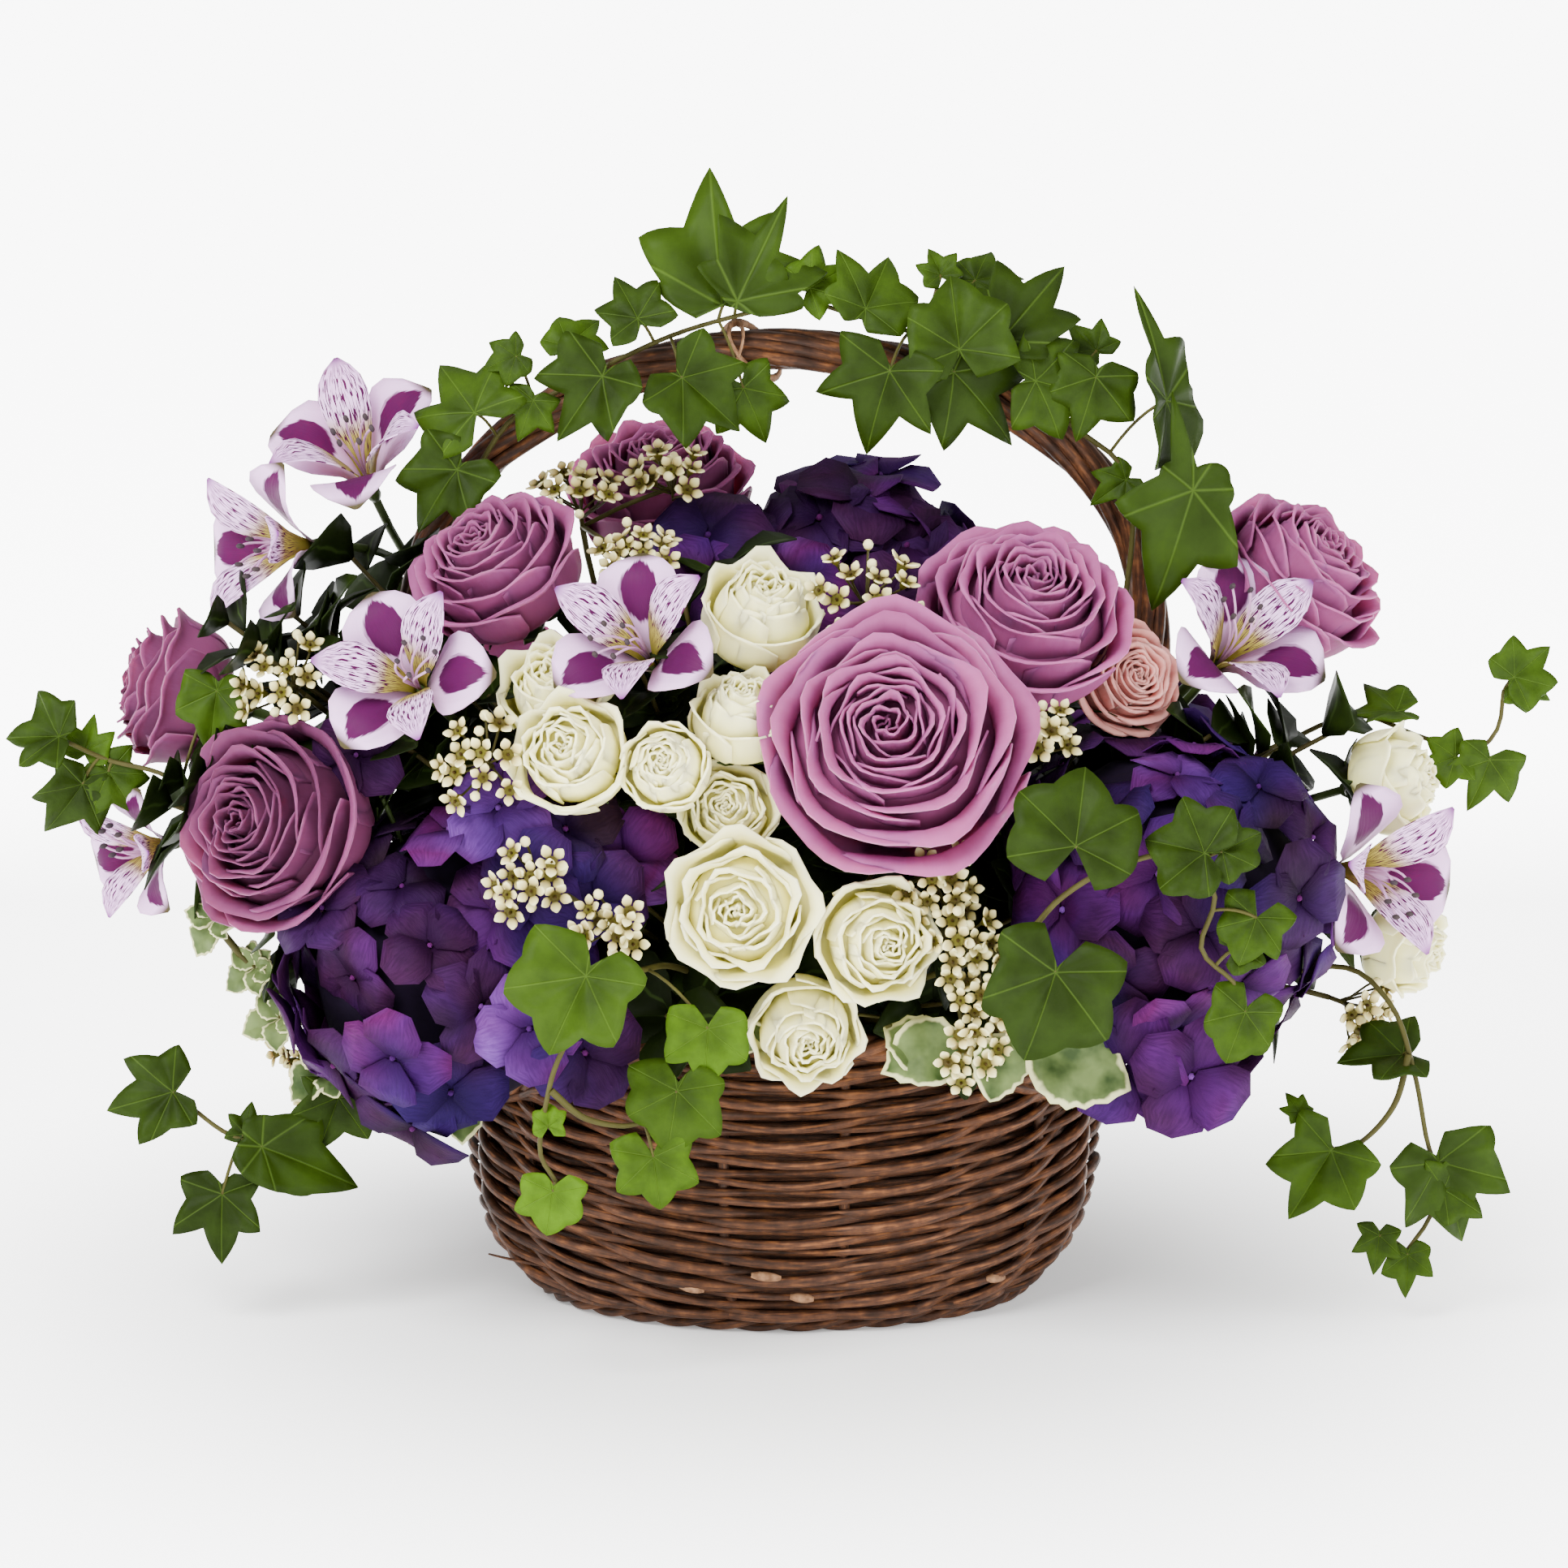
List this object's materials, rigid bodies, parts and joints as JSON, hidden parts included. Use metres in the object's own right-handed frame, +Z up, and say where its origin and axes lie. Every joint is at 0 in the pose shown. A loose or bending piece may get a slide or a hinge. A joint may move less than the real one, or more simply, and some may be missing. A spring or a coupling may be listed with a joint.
{
  "type": "flower basket arrangement",
  "caption": "Oval woven basket with a tall hoop handle, filled with roses, hydrangea, alstroemeria, waxflower and trailing ivy that stand in a block of wet foam.",
  "frame": {"origin": "centre of the underside of the basket's oval base", "axes": "+X along the basket's long side, to the right seen from the front; +Y away from the viewer; +Z up"},
  "size_m": [0.5405, 0.2942, 0.3949],
  "materials": {
    "willow": "dark stained willow rods, satin",
    "liner_plastic": "thin moulded sheet",
    "wet_foam": "fine open foam, wet",
    "ivy_leaf": "waxy leaf, darker with age",
    "green_stem": "fresh stem, matte",
    "lavender_petal": "velvety petal",
    "cream_petal": "soft petal",
    "streaked_petal": "smooth petal with purple streaks",
    "wax_petal": "waxy petal",
    "violet_sepal": "papery sepal",
    "edged_leaf": "waxy leaf with a pale edge"
  },
  "bodies": {
    "root": {"handle": "willow", "basket_base": "willow", "basket_body": "willow", "basket_rim": "willow", "liner": "liner_plastic", "foam": "wet_foam", "ivy_handle_left": "ivy_leaf", "ivy_handle_right": "ivy_leaf", "ivy_front_left": "ivy_leaf", "ivy_front_right": "ivy_leaf", "ivy_right_up": "ivy_leaf", "ivy_right_hanging": "ivy_leaf", "ivy_left_up": "ivy_leaf", "ivy_left_low": "ivy_leaf", "rose_front": "lavender_petal", "rose_upper_right": "lavender_petal", "rose_far_right": "lavender_petal", "rose_lower_left": "lavender_petal", "rose_upper_left": "lavender_petal", "rose_far_left": "lavender_petal", "rose_top": "lavender_petal", "rose_back_right": "lavender_petal", "rose_back_left": "lavender_petal", "rose_stem_front": "green_stem", "rose_stem_upper_right": "green_stem", "rose_stem_far_right": "green_stem", "rose_stem_lower_left": "green_stem", "rose_stem_upper_left": "green_stem", "rose_stem_far_left": "green_stem", "rose_stem_top": "green_stem", "rose_stem_back_right": "green_stem", "rose_stem_back_left": "green_stem", "spray_roses_low": "cream_petal", "spray_roses_left": "cream_petal", "spray_roses_middle": "cream_petal", "spray_roses_right": "cream_petal", "spray_roses_back": "cream_petal", "alstroemeria_upper_left": "streaked_petal", "alstroemeria_left": "streaked_petal", "alstroemeria_middle": "streaked_petal", "alstroemeria_upper_right": "streaked_petal", "alstroemeria_right": "streaked_petal", "alstroemeria_far_left": "streaked_petal", "waxflower_left": "wax_petal", "waxflower_middle_left": "wax_petal", "waxflower_top": "wax_petal", "waxflower_upper": "wax_petal", "waxflower_front_left": "wax_petal", "waxflower_front_right": "wax_petal", "waxflower_low_left": "wax_petal", "waxflower_low_right": "wax_petal", "hydrangea_left": "violet_sepal", "hydrangea_right": "violet_sepal", "hydrangea_top": "violet_sepal", "hydrangea_back_left": "violet_sepal", "hydrangea_back_right": "violet_sepal", "greens_front": "edged_leaf", "greens_left": "edged_leaf", "greens_back": "edged_leaf"}
  },
  "joints": []
}
